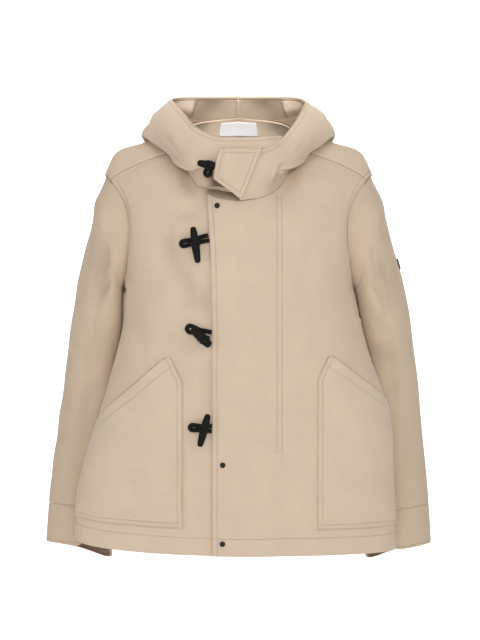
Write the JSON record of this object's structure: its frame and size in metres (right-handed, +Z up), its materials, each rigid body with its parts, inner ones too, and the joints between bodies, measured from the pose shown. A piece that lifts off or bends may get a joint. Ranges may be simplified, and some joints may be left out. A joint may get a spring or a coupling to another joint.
{
  "type": "hooded parka",
  "caption": "Hooded coat of thick felted wool, worn form and hollow, with toggles, a throat tab, patch pockets and open neck, hem and cuffs.",
  "frame": {"origin": "between the shoulders inside the neck opening, at the height where the shoulders carry the coat", "axes": "+X to the wearer's left, +Z up, so the front faces -Y"},
  "size_m": [0.744, 0.3681, 0.9069],
  "materials": {
    "felt": "thick felted wool, beige, matt",
    "felt_sleeve": "the same felt, on the sleeves",
    "tape": "smooth woven binding tape",
    "label": "plain white woven label, bare",
    "dark_cloth": "plain dark woven tab",
    "cord": "black corded loop",
    "horn": "black horn-like toggle, soft gloss",
    "snap": "black snap cap"
  },
  "bodies": {
    "root": {"front_left": "felt", "front_right": "felt", "back": "felt", "hood_left": "felt", "hood_right": "felt", "throat_tab": "felt", "pocket_left": "felt", "pocket_right": "felt", "sleeve_left": "felt_sleeve", "sleeve_right": "felt_sleeve", "cuff_left": "felt_sleeve", "cuff_right": "felt_sleeve", "hood_tape": "tape", "neck_label": "label", "sleeve_tab": "dark_cloth", "toggle_1": "horn", "toggle_loop_1": "cord", "toggle_2": "horn", "toggle_loop_2": "cord", "toggle_3": "horn", "toggle_loop_3": "cord", "toggle_4": "horn", "toggle_loop_4": "cord", "snap_1": "snap", "snap_2": "snap", "snap_3": "snap"}
  },
  "joints": []
}
